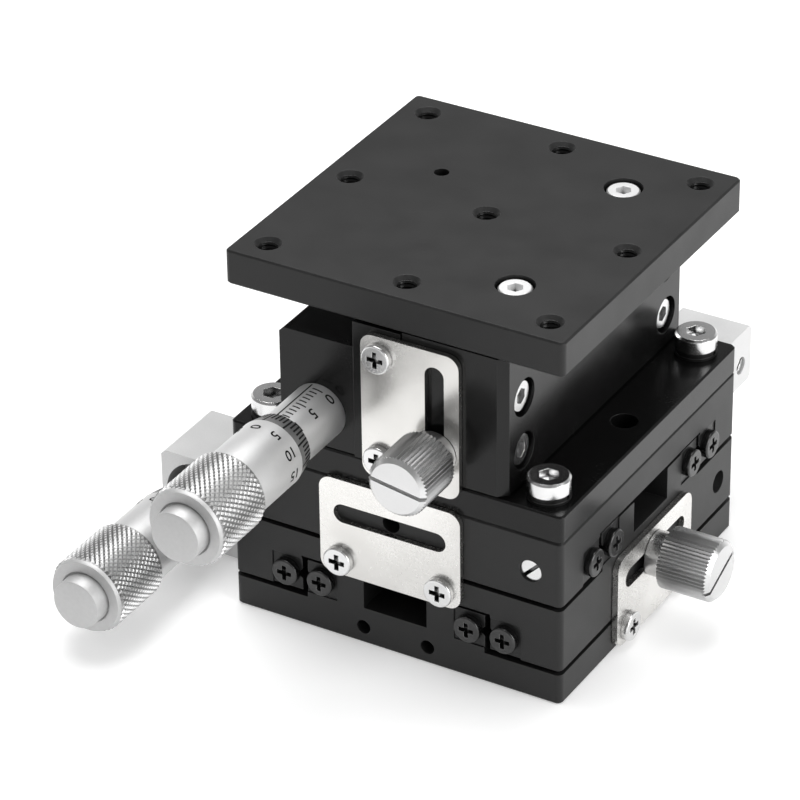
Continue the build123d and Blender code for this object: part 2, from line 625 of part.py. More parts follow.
def slide_lock_place():
    """The frame of the lower slide's lock plate: on its right side face, with Y up and Z outward."""
    return Plane(origin=(HALF + LOCK_PLATE_GAP, LOCK_CENTRE, 0), x_dir=(0, 1, 0), z_dir=(1, 0, 0))


def lift_lock_place():
    """The frame of the vertical slide's lock plate: on the front face, its long side upright."""
    return Plane(origin=(0, -HALF - LOCK_PLATE_GAP, LIFT_LOCK_Z), x_dir=(0, 0, -1), z_dir=(0, -1, 0))


def slide_lock(bottom, top):
    """Lock plate, its screws and their holes, and the knob hole, all in the lower slide's frame."""
    place = slide_lock_place()
    screws, holes = lock_screws(LOCK_SCREW_HEIGHT)
    return {
        "plate": place * lock_plate(bottom, top, LOCK_SLOT_HEIGHT, LOCK_SCREW_HEIGHT),
        "screws": [place * screw for screw in screws],
        "screw_holes": place * fused(holes),
        "knob_hole": place * knob_hole(KNOB_PLACE - LOCK_CENTRE, LOCK_SLOT_HEIGHT)}


def base_plate():
    """The base plate with its raised centre, mounting holes and side holes."""
    body = plate(0, BASE_THICKNESS, True, False) + raised_centre() - spring_channel()
    for x, y in GRID_CORNERS:
        body -= rod(GRID_HOLE_RADIUS, BASE_HOLE_DEPTH, (x, y, 0), (0, 0, 1))
    for x in (-BASE_FACE_HOLE_SPACING / 2, BASE_FACE_HOLE_SPACING / 2):
        body -= rod(FACE_HOLE_RADIUS, FACE_HOLE_DEPTH, (x, -HALF, BASE_FACE_HOLE_HEIGHT), (0, 1, 0))
    body -= slide_lock(LOWER_LOCK_BOTTOM, LOWER_LOCK_TOP)["screw_holes"]
    return body - side_screw_holes(holder_screw_starts(), HOLDER_OUT)


def middle_plate():
    """The lower slide's carriage, whose top is the base of the second slide."""
    second_lock = slide_lock(UPPER_LOCK_BOTTOM, UPPER_LOCK_TOP)
    body = carriage(MIDDLE_TOP, False) + SECOND_SLIDE * raised_centre() - SECOND_SLIDE * spring_channel()
    body -= slide_preload_hole()
    body -= slide_lock(LOWER_LOCK_BOTTOM, LOWER_LOCK_TOP)["knob_hole"]
    body -= SECOND_SLIDE * second_lock["screw_holes"]
    body -= SECOND_SLIDE * side_screw_holes(holder_screw_starts(), HOLDER_OUT)
    return body - side_screw_holes(thrust_screw_starts(), THRUST_OUT)


def upper_plate():
    """The second slide's carriage, with the threaded holes that carry the vertical slide."""
    body = SECOND_SLIDE * carriage(MIDDLE_TOP + UPPER_EXTRA_THICKNESS, True)
    body -= SECOND_SLIDE * slide_preload_hole()
    body -= SECOND_SLIDE * slide_lock(UPPER_LOCK_BOTTOM, UPPER_LOCK_TOP)["knob_hole"]
    body -= SECOND_SLIDE * side_screw_holes(thrust_screw_starts(), THRUST_OUT)
    return body - fused(corner_screw_holes())


def corner_seat():
    """Height of the corner screws' seats, on top of both washers."""
    return LIFT_BASE_TOP + WASHER_THICKNESS + SPRING_WASHER_THICKNESS


def corner_screw_depth():
    """How far a corner screw goes below its seat."""
    return corner_seat() - UPPER_TOP + CORNER_SCREW_DEPTH


def corner_screws():
    """The four cap screws that hold the vertical slide down."""
    depth = corner_screw_depth()
    return [cap_screw(M4_LOW, depth, (x, y, corner_seat()), (0, 0, -1)) for x, y in CORNER_PLACES]


def corner_screw_holes():
    """The holes of the corner screws."""
    depth = corner_screw_depth()
    return [screw_hole(M4_LOW, depth, (x, y, corner_seat()), (0, 0, -1)) for x, y in CORNER_PLACES]


def corner_washers():
    """A flat washer and a split spring washer under each corner screw."""
    inner = M4_LOW[0] + HOLE_CLEARANCE
    flat = extrude(Circle(WASHER_RADIUS) - Circle(inner), WASHER_THICKNESS)
    split = extrude(Circle(SPRING_WASHER_RADIUS) - Circle(inner), SPRING_WASHER_THICKNESS)
    split_side = SPRING_WASHER_SPLIT / 2
    split -= block(0, SPRING_WASHER_RADIUS, -split_side, split_side, 0, SPRING_WASHER_THICKNESS)
    washers = []
    for x, y in CORNER_PLACES:
        washers.append(Pos(x, y, LIFT_BASE_TOP) * flat)
        washers.append(Pos(x, y, LIFT_BASE_TOP + WASHER_THICKNESS) * split)
    return washers


def lift_base_plate():
    """The plate under the vertical slide, with a groove for the wedge."""
    body = plate(UPPER_TOP, LIFT_BASE_TOP, True, True) - fused(corner_screw_holes())
    for x in (-GRID_PITCH, GRID_PITCH):
        body -= rod(LIFT_BASE_HOLE_RADIUS, LIFT_BASE_THICKNESS, (x, 0, UPPER_TOP), (0, 0, 1))
    groove_left = WEDGE_LEFT - WEDGE_CLEARANCE
    groove_right = WEDGE_RIGHT + WEDGE_CLEARANCE
    body -= block(groove_left, groove_right, WEDGE_FRONT - GROOVE_SPARE, HALF, WEDGE_FLOOR, LIFT_BASE_TOP)
    return body - fused(guide_foot_holes())


def guide_foot_starts():
    """Where the screws under the guide block start, at the underside of its base plate."""
    return [(GUIDE_FOOT_X, y, UPPER_TOP) for y in (-GUIDE_FOOT_Y, GUIDE_FOOT_Y)]


def guide_foot_holes():
    """The holes of the screws under the guide block."""
    return [screw_hole(M3, LONG_SCREW_DEPTH, start, (0, 0, 1), M3[2] + HEAD_RECESS)
            for start in guide_foot_starts()]


def guide_rail_starts():
    """Where the screws of the fixed upright rails enter the guide block."""
    out = LIFT_RAIL_OFFSET - RAIL_MIDDLE
    return [(GUIDE_LEFT, side * out, z) for side in (-1, 1) for z in (GUIDE_SCREW_LOW, GUIDE_SCREW_HIGH)]


def guide_rail_depth():
    """How far these screws go past their seats, into the rails."""
    return SEAM - RAIL_HEIGHT / 2 - GUIDE_LEFT - M2[2] - HEAD_RECESS + RAIL_SCREW_DEPTH


def guide_screws():
    """All screws of the guide block: two from below and four into the fixed rails."""
    foot = [cap_screw(M3, LONG_SCREW_DEPTH, start, (0, 0, 1), M3[2] + HEAD_RECESS)
            for start in guide_foot_starts()]
    side = [cap_screw(M2, guide_rail_depth(), start, (1, 0, 0), M2[2] + HEAD_RECESS)
            for start in guide_rail_starts()]
    return foot + side


def lift_rail_starts():
    """Where the screws of the moving upright rails enter the lift block."""
    out = LIFT_RAIL_OFFSET + RAIL_MIDDLE
    return [(LIFT_RIGHT, side * out, z) for side in (-1, 1) for z in (LIFT_SCREW_LOW, LIFT_SCREW_HIGH)]


def lift_rail_depth():
    """How far these screws go past their seats, into the rails."""
    return LIFT_RIGHT - M3[2] - LIFT_SCREW_RECESS - SEAM - RAIL_HEIGHT / 2 + RAIL_SCREW_DEPTH


def lift_rail_screws():
    """The four screws that hold the moving rails to the lift block."""
    return [cap_screw(M3, lift_rail_depth(), start, (-1, 0, 0), M3[2] + LIFT_SCREW_RECESS)
            for start in lift_rail_starts()]


def lift_rail_holes():
    """The holes of these screws, in the lift block and the rails."""
    return fused([screw_hole(M3, lift_rail_depth(), start, (-1, 0, 0), M3[2] + LIFT_SCREW_RECESS,
                             WIDE_COUNTERBORE_CLEARANCE) for start in lift_rail_starts()])


def guide_rail_holes():
    """The holes of the fixed rails' screws, in the guide block and the rails."""
    return fused([screw_hole(M2, guide_rail_depth(), start, (1, 0, 0), M2[2] + HEAD_RECESS)
                  for start in guide_rail_starts()])


def upright(shape):
    """Stands a rail or cage up: its length along Z, its groove side facing along Y, centred on the seam."""
    middle = LIFT_BASE_TOP + LIFT_HEIGHT / 2
    return Pos(SEAM, 0, middle) * Rot(0, 0, 90) * Rot(90, 0, 0) * shape


def lift_rails(outer):
    """The moving (outer) or fixed (inner) pair of upright rails."""
    bar = rail(LIFT_RAIL_LENGTH, False)
    if not outer:
        bar = OTHER_SIDE * bar
    right = Pos(LIFT_RAIL_OFFSET, 0, 0) * bar
    holes = lift_rail_holes() if outer else guide_rail_holes()
    return [upright(shape) - holes for shape in both_sides(right)]


def lift_cages():
    """Both cages of the vertical slide."""
    cage = roller_cage(LIFT_ROLLERS)
    return [upright(shape) for piece in cage for shape in both_sides(Pos(LIFT_RAIL_OFFSET, 0, 0) * piece)]


def guide_block():
    """The fixed block of the vertical slide, which its fixed rails sit against."""
    seat = SEAM - RAIL_HEIGHT / 2 - RAIL_SEAT_CLEARANCE
    body = block(GUIDE_LEFT, GUIDE_RIGHT, -HALF, HALF, LIFT_BASE_TOP, TABLE_BOTTOM - LIFT_GAP)
    inner = LIFT_RAIL_OFFSET - RAIL_SEAT
    outer = LIFT_RAIL_OFFSET + RAIL_SEAT
    for side in (-1, 1):
        near = sorted((side * inner, side * LIFT_RAIL_OFFSET))
        far = sorted((side * LIFT_RAIL_OFFSET, side * (outer + RAIL_RELIEF)))
        body -= block(seat, GUIDE_RIGHT, *near, LIFT_BASE_TOP, TABLE_BOTTOM)
        body -= block(seat - RAIL_RELIEF, GUIDE_RIGHT, *far, LIFT_BASE_TOP, TABLE_BOTTOM)
    body -= guide_rail_holes() + fused(guide_foot_holes()) + lift_holder_screw_holes()
    return body - lift_lock()["screw_holes"]


def lift_block():
    """The moving block of the vertical slide, which its moving rails sit against."""
    seat = SEAM + RAIL_HEIGHT / 2 + RAIL_SEAT_CLEARANCE
    body = block(LIFT_LEFT, LIFT_RIGHT, -HALF, HALF, LIFT_BASE_TOP + LIFT_GAP, TABLE_BOTTOM)
    body = chamfer(body.edges().filter_by(Axis.Z).group_by(Axis.X)[-1], LIFT_CHAMFER)
    inner = LIFT_RAIL_OFFSET - RAIL_SEAT - RAIL_RELIEF
    outer = LIFT_RAIL_OFFSET + RAIL_SEAT
    for side in (-1, 1):
        near = sorted((side * inner, side * LIFT_RAIL_OFFSET))
        far = sorted((side * LIFT_RAIL_OFFSET, side * outer))
        body -= block(LIFT_LEFT, seat + RAIL_RELIEF, *near, LIFT_BASE_TOP, TABLE_BOTTOM)
        body -= block(LIFT_LEFT, seat, *far, LIFT_BASE_TOP, TABLE_BOTTOM)
    body -= lift_rail_holes() + table_screw_holes()
    return body - lift_lock()["knob_hole"]


def lift_lock():
    """Lock plate, screws, their holes and the knob of the vertical slide."""
    place = lift_lock_place()
    screws, holes = lock_screws(LIFT_LOCK_SCREW_X)
    knob_row = LIFT_LOCK_Z - LIFT_KNOB_Z
    return {
        "plate": place * lock_plate(LIFT_LOCK_LEFT, LIFT_LOCK_RIGHT, LIFT_LOCK_SLOT_X, LIFT_LOCK_SCREW_X),
        "screws": [place * screw for screw in screws],
        "screw_holes": place * fused(holes),
        "knob_hole": place * knob_hole(knob_row, LIFT_LOCK_SLOT_X),
        "knob": place * Pos(knob_row, LIFT_LOCK_SLOT_X, 0) * Rot(0, 0, LIFT_KNOB_TURN) * lock_knob()}


def table_screw_starts():
    """Where the two screws that hold the table to the lift block enter it."""
    return [(TABLE_SCREW_X, y, TABLE_TOP) for y in (-TABLE_SCREW_Y, TABLE_SCREW_Y)]


def table_screws():
    """The two cap screws sunk in the table."""
    return [cap_screw(M3, LONG_SCREW_DEPTH, start, (0, 0, -1), M3[2] + HEAD_RECESS)
            for start in table_screw_starts()]


def table_screw_holes():
    """Their counterbores and holes."""
    return fused([screw_hole(M3, LONG_SCREW_DEPTH, start, (0, 0, -1), M3[2] + HEAD_RECESS,
                             WIDE_COUNTERBORE_CLEARANCE) for start in table_screw_starts()])


def table_plate():
    """The table, with its grid of threaded holes."""
    body = plate(TABLE_BOTTOM, TABLE_TOP, True, True)
    for x, y in GRID_ALL:
        body -= rod(GRID_HOLE_RADIUS, TABLE_THICKNESS, (x, y, TABLE_BOTTOM), (0, 0, 1))
        mouth = GRID_HOLE_RADIUS + GRID_HOLE_CHAMFER
        body -= Pos(x, y, TABLE_TOP) * Cone(0, mouth, mouth, align=(Align.CENTER, Align.CENTER, Align.MAX))
    body -= rod(PIN_HOLE_RADIUS, PIN_HOLE_DEPTH, (PIN_HOLE_X, PIN_HOLE_Y, TABLE_TOP), (0, 0, -1))
    return body - table_screw_holes() - fused(ramp_screw_holes())


def lift_holder_screw_starts():
    """Where the screws of the vertical slide's micrometer holder enter it."""
    rows = (-HALF + LIFT_HOLDER_SCREW_FROM_END, LIFT_HOLDER_BACK - LIFT_HOLDER_SCREW_FROM_END)
    return [(LIFT_HOLDER_LEFT, y, LIFT_HOLDER_SCREW_Z) for y in rows]


def lift_holder_screw_depth():
    """How far these screws go past their seats, into the guide block."""
    return GUIDE_LEFT - LIFT_HOLDER_LEFT - M3[2] - HEAD_RECESS + LIFT_HOLDER_SCREW_DEPTH


def lift_holder_screws():
    """The two screws that hold the vertical slide's micrometer holder."""
    return [cap_screw(M3, lift_holder_screw_depth(), start, (1, 0, 0), M3[2] + HEAD_RECESS)
            for start in lift_holder_screw_starts()]


def lift_holder_screw_holes():
    """Their holes, in the holder and the guide block."""
    return fused([screw_hole(M3, lift_holder_screw_depth(), start, (1, 0, 0), M3[2] + HEAD_RECESS)
                  for start in lift_holder_screw_starts()])


def lift_holder():
    """The black block that holds the vertical slide's micrometer head."""
    bottom = LIFT_BASE_TOP + LIFT_GAP
    body = block(LIFT_HOLDER_LEFT, GUIDE_LEFT, -HALF, LIFT_HOLDER_BACK, bottom, LIFT_HOLDER_TOP)
    body = chamfer(body.edges().filter_by(Axis.Y).group_by(Axis.X)[0], HOLDER_CORNER)
    start = (LIFT_HEAD_X, -HALF, LIFT_HEAD_Z)
    body -= rod(STEM_RADIUS + RAIL_SEAT_CLEARANCE, STEM_LENGTH + SCREW_HOLE_SPARE, start, (0, 1, 0))
    body -= rod(SPINDLE_RADIUS + 2 * BORE_CLEARANCE, LIFT_HOLDER_LENGTH, start, (0, 1, 0))
    return body - lift_holder_screw_holes()


def lift_head():
    """The vertical slide's micrometer head in its place."""
    place = Plane(origin=(LIFT_HEAD_X, -HALF, LIFT_HEAD_Z), z_dir=(0, 1, 0))
    return {name: place * shape for name, shape in micrometer_head().items()}


def wedge():
    """The wedge that the spindle pushes along the base plate, with a face at 45 degrees."""
    bottom = WEDGE_FLOOR + WEDGE_CLEARANCE / 2
    toe = WEDGE_TOP - (WEDGE_BACK - WEDGE_SLOPE_START)
    profile = Polyline(
        (WEDGE_FRONT, bottom),
        (WEDGE_BACK, bottom),
        (WEDGE_BACK, toe),
        (WEDGE_SLOPE_START, WEDGE_TOP),
        (WEDGE_FRONT, WEDGE_TOP),
        close=True)
    return Pos(WEDGE_LEFT, 0, 0) * extrude(make_face(Plane.YZ * profile), WEDGE_RIGHT - WEDGE_LEFT)


def ramp_screw_holes():
    """The holes of the ramp's screws, from its underside into the table."""
    return [screw_hole(M3, depth, start, (0, 0, 1), M3[2] + HEAD_RECESS)
            for start, depth in ramp_screw_places()]


def ramp_screw_places():
    """Where the ramp's screws start, at its underside, and how far they go past their seats."""
    depth = TABLE_BOTTOM - RAMP_BOTTOM - M3[2] - HEAD_RECESS + RAMP_SCREW_DEPTH
    y = RAMP_BACK - RAMP_SCREW_FROM_BACK
    columns = (WEDGE_LEFT + RAMP_SCREW_INSET, WEDGE_RIGHT - RAMP_SCREW_INSET)
    return [((x, y, RAMP_BOTTOM), depth) for x in columns]


def ramp_screws():
    """The two screws that hold the ramp under the table."""
    return [cap_screw(M3, depth, start, (0, 0, 1), M3[2] + HEAD_RECESS)
            for start, depth in ramp_screw_places()]


def ramp():
    """The ramp under the table, whose face rides on the wedge."""
    rise = WEDGE_TOP + WEDGE_SLOPE_START + WEDGE_CLEARANCE
    profile = Polyline(
        (RAMP_FRONT, TABLE_BOTTOM),
        (RAMP_FRONT, rise - RAMP_FRONT),
        (rise - RAMP_BOTTOM, RAMP_BOTTOM),
        (RAMP_BACK, RAMP_BOTTOM),
        (RAMP_BACK, TABLE_BOTTOM),
        close=True)
    body = Pos(WEDGE_LEFT, 0, 0) * extrude(make_face(Plane.YZ * profile), WEDGE_RIGHT - WEDGE_LEFT)
    return body - fused(ramp_screw_holes())


def slide_nodes(axis, place, lock, recess):
    """The parts that both slides have, named by their axis and put in place."""
    head = slide_head()
    shapes = {
        "inner_rails": slide_rails(False),
        "inner_end_screws": slide_end_screws(False),
        "outer_rails": slide_rails(True),
        "outer_end_screws": slide_end_screws(True),
        "roller_cages": slide_cages(),
        "preload_screw": slide_preload_screw(recess),
        "lock_plate": lock["plate"],
        "lock_plate_screws": lock["screws"],
        "micrometer_holder": slide_holder(),
        "holder_screws": side_screws(holder_screw_starts(), HOLDER_OUT),
        "micrometer_barrel": head["barrel"],
        "spindle": head["spindle"],
        "thimble": head["thimble"],
        "thrust_block": slide_thrust_block(),
        "thrust_screws": slide_thrust_screws(),
        "thrust_pin": slide_thrust_pin()}
    return {f"{axis}_{name}": placed(place, shape) for name, shape in shapes.items()}


def placed(place, shape):
    """A shape or a list of shapes, moved."""
    if isinstance(shape, list):
        return [place * piece for piece in shape]
    return place * shape


def lift_nodes():
    """The parts of the vertical slide."""
    lock = lift_lock()
    head = lift_head()
    return {
        "z_base_plate": lift_base_plate(),
        "z_corner_screws": corner_screws(),
        "z_corner_washers": corner_washers(),
        "z_guide_block": guide_block(),
        "z_guide_screws": guide_screws(),
        "z_fixed_rails": lift_rails(False),
        "z_moving_rails": lift_rails(True),
        "z_roller_cages": lift_cages(),
        "z_lift_block": lift_block(),
        "z_lift_rail_screws": lift_rail_screws(),
        "z_lock_plate": lock["plate"],
        "z_lock_plate_screws": lock["screws"],
        "z_lock_knob": lock["knob"],
        "z_micrometer_holder": lift_holder(),
        "z_holder_screws": lift_holder_screws(),
        "z_micrometer_barrel": head["barrel"],
        "z_spindle": head["spindle"],
        "z_thimble": head["thimble"],
        "z_wedge": wedge(),
        "z_ramp": ramp(),
        "z_ramp_screws": ramp_screws(),
        "table_plate": table_plate(),
        "table_screws": table_screws()}


def all_nodes():
    """Every sub-part by name."""
    knob_place = slide_lock_place() * Pos(KNOB_PLACE - LOCK_CENTRE, LOCK_SLOT_HEIGHT, 0)
    nodes = {"base_plate": base_plate(), "middle_plate": middle_plate(), "upper_plate": upper_plate()}
    nodes["y_lock_knob"] = knob_place * Rot(0, 0, SIDE_KNOB_TURN) * lock_knob()
    lower_lock = slide_lock(LOWER_LOCK_BOTTOM, LOWER_LOCK_TOP)
    upper_lock = slide_lock(UPPER_LOCK_BOTTOM, UPPER_LOCK_TOP)
    nodes.update(slide_nodes("y", Pos(0, 0, 0), lower_lock, LOWER_SET_SCREW_RECESS))
    nodes.update(slide_nodes("x", SECOND_SLIDE, upper_lock, UPPER_SET_SCREW_RECESS))
    nodes.update(lift_nodes())
    return nodes


def write(name, shape):
    """Write one sub-part as a STEP file."""
    solids = [solid for piece in (shape if isinstance(shape, list) else [shape]) for solid in piece.solids()]
    result = solids[0] if len(solids) == 1 else Compound(children=solids)
    result.label = name
    export_step(result, f"parts/{name}.step")


if __name__ == "__main__":
    os.makedirs("parts", exist_ok=True)
    for node, node_shape in all_nodes().items():
        write(node, node_shape)
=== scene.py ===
import json
import math

import bmesh
import bpy
from mathutils import Matrix, Vector


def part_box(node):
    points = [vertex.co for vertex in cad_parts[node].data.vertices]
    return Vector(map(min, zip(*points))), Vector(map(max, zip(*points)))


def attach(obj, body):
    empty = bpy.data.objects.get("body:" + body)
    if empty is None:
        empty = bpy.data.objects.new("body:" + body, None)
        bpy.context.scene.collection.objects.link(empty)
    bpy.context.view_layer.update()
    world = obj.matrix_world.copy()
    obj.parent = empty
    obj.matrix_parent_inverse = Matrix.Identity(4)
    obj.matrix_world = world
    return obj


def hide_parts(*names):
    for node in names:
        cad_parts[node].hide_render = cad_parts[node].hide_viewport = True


# Looks of a three-axis translation stage: black anodised plates, bright lock plates and satin-chromed
# micrometer heads. Lengths are metres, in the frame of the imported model. MM turns millimetres into metres.
MM = 0.001
TURN = 2 * math.pi

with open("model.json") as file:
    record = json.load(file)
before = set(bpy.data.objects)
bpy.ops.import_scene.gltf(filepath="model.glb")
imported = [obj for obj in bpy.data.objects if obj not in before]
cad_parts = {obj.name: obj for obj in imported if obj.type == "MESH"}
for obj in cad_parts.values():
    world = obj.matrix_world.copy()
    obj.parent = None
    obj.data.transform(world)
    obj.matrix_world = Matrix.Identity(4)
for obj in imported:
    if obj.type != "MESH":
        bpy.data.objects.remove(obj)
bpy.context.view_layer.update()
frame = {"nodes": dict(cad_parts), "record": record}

# Camera, as the photograph was taken
CAMERA_AZIMUTH = 30.61
CAMERA_ELEVATION = 31.28
CAMERA_ROLL = -0.784
CAMERA_DISTANCE = 715.5 * MM
CAMERA_TARGET = Vector((-16.3, 0.0, 26.7)) * MM
FOCAL_LENGTH_PIXELS = 4368.0
IMAGE_PIXELS = 800
SENSOR_WIDTH = 36.0
NEAR_CLIP = 10.0 * MM

# Floor and light: the world's level, and each lamp's place, aim, size and power in watts
FLOOR_SIZE = 3.0
FLOOR_TONE = 0.82
FLOOR_GLOW = 0.3
WORLD_LEVEL = 0.45
HORIZON_TOP = 0.1
CEILING_START = 0.42
CEILING_LEVEL = 0.3
WHITE = (1.0, 1.0, 1.0, 1.0)
LAMPS = {
    "right_box": ((0.5, -0.03, 0.22), (0, 0, 0.03), 0.35, 1.8),
    "top_box": ((-0.1, 0.1, 0.6), (0, 0, 0.04), 0.45, 3.4),
}

# Finishes. Edges are painted bright, part wear and part painted highlight, where the rounded normal and the
# true one agree by less than WORN_HIGHLIT_TO. Hollows get painted shade, darker as their share of open sky
# falls from
# HOLLOW_UNSHADED to HOLLOW_DARK
NOISE_DETAIL = 3.0
WORN_HIGHLIT_SHARE = 0.75
WORN_HIGHLIT_FROM = 0.8
WORN_HIGHLIT_TO = 0.995
BROKEN_SHARE = 0.35
ROUGHNESS_DRIFT = 0.03
EDGE_SAMPLES = 6
LEAST_RELIEF = 1e-7
HOLLOW_REACH = 1.0 * MM
HOLLOW_DARK = 0.35
HOLLOW_UNSHADED = 0.75
HOLLOW_SAMPLES = 8
PAINT_DRIFT = 1.6
PAINT_GLOSS_DRIFT = 0.1

# CAD pieces with a finish of their own, pieces with rounded edges, and the body that each barrel rides on
GLOSSY_NODES = ("z_base_plate", "z_guide_block", "z_lift_block", "z_micrometer_holder")
LOCK_PLATES = ("y_lock_plate", "x_lock_plate", "z_lock_plate")
BARREL_BODY = {"y": "base", "x": "y_carriage", "z": "x_carriage"}

# Edges of the CAD pieces: smooth shading stops and rounding starts at these angles, in degrees
SMOOTH_ANGLE = 32.0
PLATE_EDGE = 0.15 * MM
PLATE_EDGE_STEPS = 3
PLATE_EDGE_ANGLE = 50.0

# Thimbles: rim, sleeve, knurled grip and end cap. KNURL_FLAT is the share of a diamond that is its flat
# top, and TAPER_RING is the place of the taper's wide end among the front rings
SEGMENTS = 92
LIP_RADIUS = 5.25 * MM
BORE_RADIUS = 4.95 * MM
RIM_ROUND = 0.12 * MM
TAPER_RING = 5
TAPER_LENGTH = 3.4 * MM
SLEEVE_RADIUS = 5.9 * MM
SLEEVE_GAP = 0.02 * MM
KNURL_ROW = 0.68 * MM
KNURL_DEPTH = 0.26 * MM
KNURL_FLAT = 0.48
GRIP_LENGTH = 12.9 * MM
GRIP_STEP = 0.5 * MM
GRIP_EDGE = 0.6 * MM
GRIP_EDGE_SHARE = 0.9
CAP_RADIUS = 4.25 * MM
CAP_LENGTH = 2.8 * MM
CAP_ROUND = 0.25 * MM
CAP_ROUND_SHARE = 0.3
CAP_GROOVE = 0.35 * MM
BACK_WALL = 6.0 * MM

# Index of each further material on a thimble. 0 is the sleeve's
CREST_FACES, GROOVE_FACES, END_FACES, BAND_FACES = range(1, 5)

# Marks and numbers on thimbles and barrels. Angles are degrees round the head
MARK_WIDTH = 0.3 * MM
MARK_RELIEF = 0.012 * MM
DATUM_ANGLE = -101.0
NUMBERED_EVERY = 5
DIGIT_WEIGHT = 0.035 * MM
DIGIT_SLICE = 0.15 * MM
DIGIT_CURVE_STEPS = 6
DIVISIONS = 50
TICK_FROM_RIM = 0.08 * MM
SHORT_TICK = 2.0 * MM
LONG_TICK_SPARE = 0.15 * MM
THIMBLE_DIGIT_SIZE = 2.5 * MM
THIMBLE_DIGIT_PLACE = 5.6 * MM
BARREL_RADIUS = 4.8 * MM
STEM_LENGTH = 4.8 * MM
DATUM_FROM_SHOULDER = 0.4 * MM
FIRST_MARK = 1.5 * MM
SCALE_PITCH = 1.0 * MM
SCALE_LENGTH = 13
SHORT_MARK_ARC = 16.0
LONG_MARK_ARC = 22.0
MARK_FROM_DATUM = 9.0
MARK_STEPS = 6
BARREL_DIGIT_SIZE = 2.6 * MM
BARREL_DIGIT_ANGLE = 48.0

# Thread ridges in the table's holes, measured from its top
HOLE_PITCH = 25.0 * MM
THREAD_SEGMENTS = 40
THREAD_PITCH = 0.7 * MM
THREAD_TURNS = 6
THREAD_TOP = -0.62 * MM
THREAD_WALL = 1.645 * MM
THREAD_ROOT = 1.62 * MM
THREAD_CREST = 1.35 * MM


def node(tree, kind, inputs=None, **settings):
    """Adds a shader node; its inputs are given as values or as sockets to link."""
    made = tree.nodes.new(kind)
    for key, value in settings.items():
        setattr(made, key, value)
    for key, value in (inputs or {}).items():
        if isinstance(value, bpy.types.NodeSocket):
            tree.links.new(value, made.inputs[key])
        else:
            made.inputs[key].default_value = value
    return made


def ramp(tree, factor, low, high, start=0.3, end=0.7):
    """Maps a factor between start and end to the range low to high."""
    limits = {"From Min": start, "From Max": end, "To Min": low, "To Max": high}
    return node(tree, "ShaderNodeMapRange", {"Value": factor, **limits}).outputs[0]


def noise(tree, place, scale):
    """A noise field."""
    inputs = {"Vector": place, "Scale": scale, "Detail": NOISE_DETAIL}
    return node(tree, "ShaderNodeTexNoise", inputs).outputs["Fac"]


def maths(tree, operation, first, second):
    """One step of arithmetic on two values."""
    return node(tree, "ShaderNodeMath", {0: first, 1: second}, operation=operation).outputs[0]


def mix(tree, factor, first, second):
    """A colour between two colours."""
    inputs = {"Factor": factor, "A": first, "B": second}
    return node(tree, "ShaderNodeMix", inputs, data_type="RGBA").outputs["Result"]


def rubbed_edges(tree, rounded, wide):
    """How far an edge is painted bright, part wear and part painted highlight: 0 on flat places, more where
    the rounded normal turns away.
    """
    true_normal = node(tree, "ShaderNodeNewGeometry").outputs["True Normal"]
    along = node(tree, "ShaderNodeVectorMath", {0: rounded, 1: true_normal}, operation="DOT_PRODUCT")
    worn_highlight = ramp(tree, along.outputs["Value"], WORN_HIGHLIT_SHARE, 0.0, WORN_HIGHLIT_FROM, WORN_HIGHLIT_TO)
    return maths(tree, "MULTIPLY", worn_highlight, ramp(tree, wide, BROKEN_SHARE, 1.0))


def clean_places(tree):
    """Painted shade in hollows: 0 deep in a recess and 1 in the open."""
    sky = node(tree, "ShaderNodeAmbientOcclusion", {"Distance": HOLLOW_REACH}, samples=HOLLOW_SAMPLES)
    return ramp(tree, sky.outputs["AO"], 0.0, 1.0, HOLLOW_DARK, HOLLOW_UNSHADED)


def metal(name, dark, light, roughness, metallic, grain=2500.0, cloud=90.0, relief=0.0, stretch=(1, 1, 1),
          edge=None, edge_radius=0.12 * MM, specular=0.5, grain_share=0.5, hollow=None):
    """A finish: drifting colour, grained roughness, fine relief, edges painted bright (part wear, part
    painted highlight) and painted shade in hollows.
    """
    material = bpy.data.materials.new(name)
    material.use_nodes = True
    tree = material.node_tree
    shader = tree.nodes["Principled BSDF"]
    shader.inputs["Metallic"].default_value = metallic
    shader.inputs["Specular IOR Level"].default_value = specular
    place = node(tree, "ShaderNodeTexCoord").outputs["Object"]
    drawn = node(tree, "ShaderNodeMapping", {"Vector": place, "Scale": stretch}).outputs["Vector"]
    fine = noise(tree, drawn, grain)
    wide = noise(tree, place, cloud)
    blend = maths(tree, "ADD", ramp(tree, fine, 0.0, grain_share), ramp(tree, wide, 0.0, 1 - grain_share))
    colour = mix(tree, blend, (*dark, 1), (*light, 1))
    drift = ramp(tree, fine, -ROUGHNESS_DRIFT, ROUGHNESS_DRIFT)
    rough = maths(tree, "ADD", ramp(tree, wide, roughness[0], roughness[1]), drift)
    rounded = node(tree, "ShaderNodeBevel", {"Radius": edge_radius}, samples=EDGE_SAMPLES).outputs["Normal"]
    # Edge colour: part wear, part painted highlight on the rounded edges
    if edge:
        colour = mix(tree, rubbed_edges(tree, rounded, wide), colour, (*edge, 1))
    # Painted shade: recesses and places where a part meets its neighbour turn to the hollow colour
    if hollow:
        colour = mix(tree, clean_places(tree), (*hollow, 1), colour)
    tree.links.new(colour, shader.inputs["Base Color"])
    tree.links.new(rough, shader.inputs["Roughness"])
    heights = {"Height": fine, "Normal": rounded, "Distance": max(relief, LEAST_RELIEF), "Strength": 1.0}
    bump = node(tree, "ShaderNodeBump", heights).outputs["Normal"]
    tree.links.new(bump, shader.inputs["Normal"])
    return material


def flat_paint(name, colour, roughness):
    """Paint in engraved marks, with a little grain in its colour and gloss."""
    light = [min(1, level * PAINT_DRIFT) for level in colour]
    return metal(name, colour, light, (roughness, roughness + PAINT_GLOSS_DRIFT), 0.0, grain=4000.0,
                 edge_radius=0.01 * MM, specular=0.15)


def tone(level):
    """A neutral colour of that level."""
    return (level, level, level)


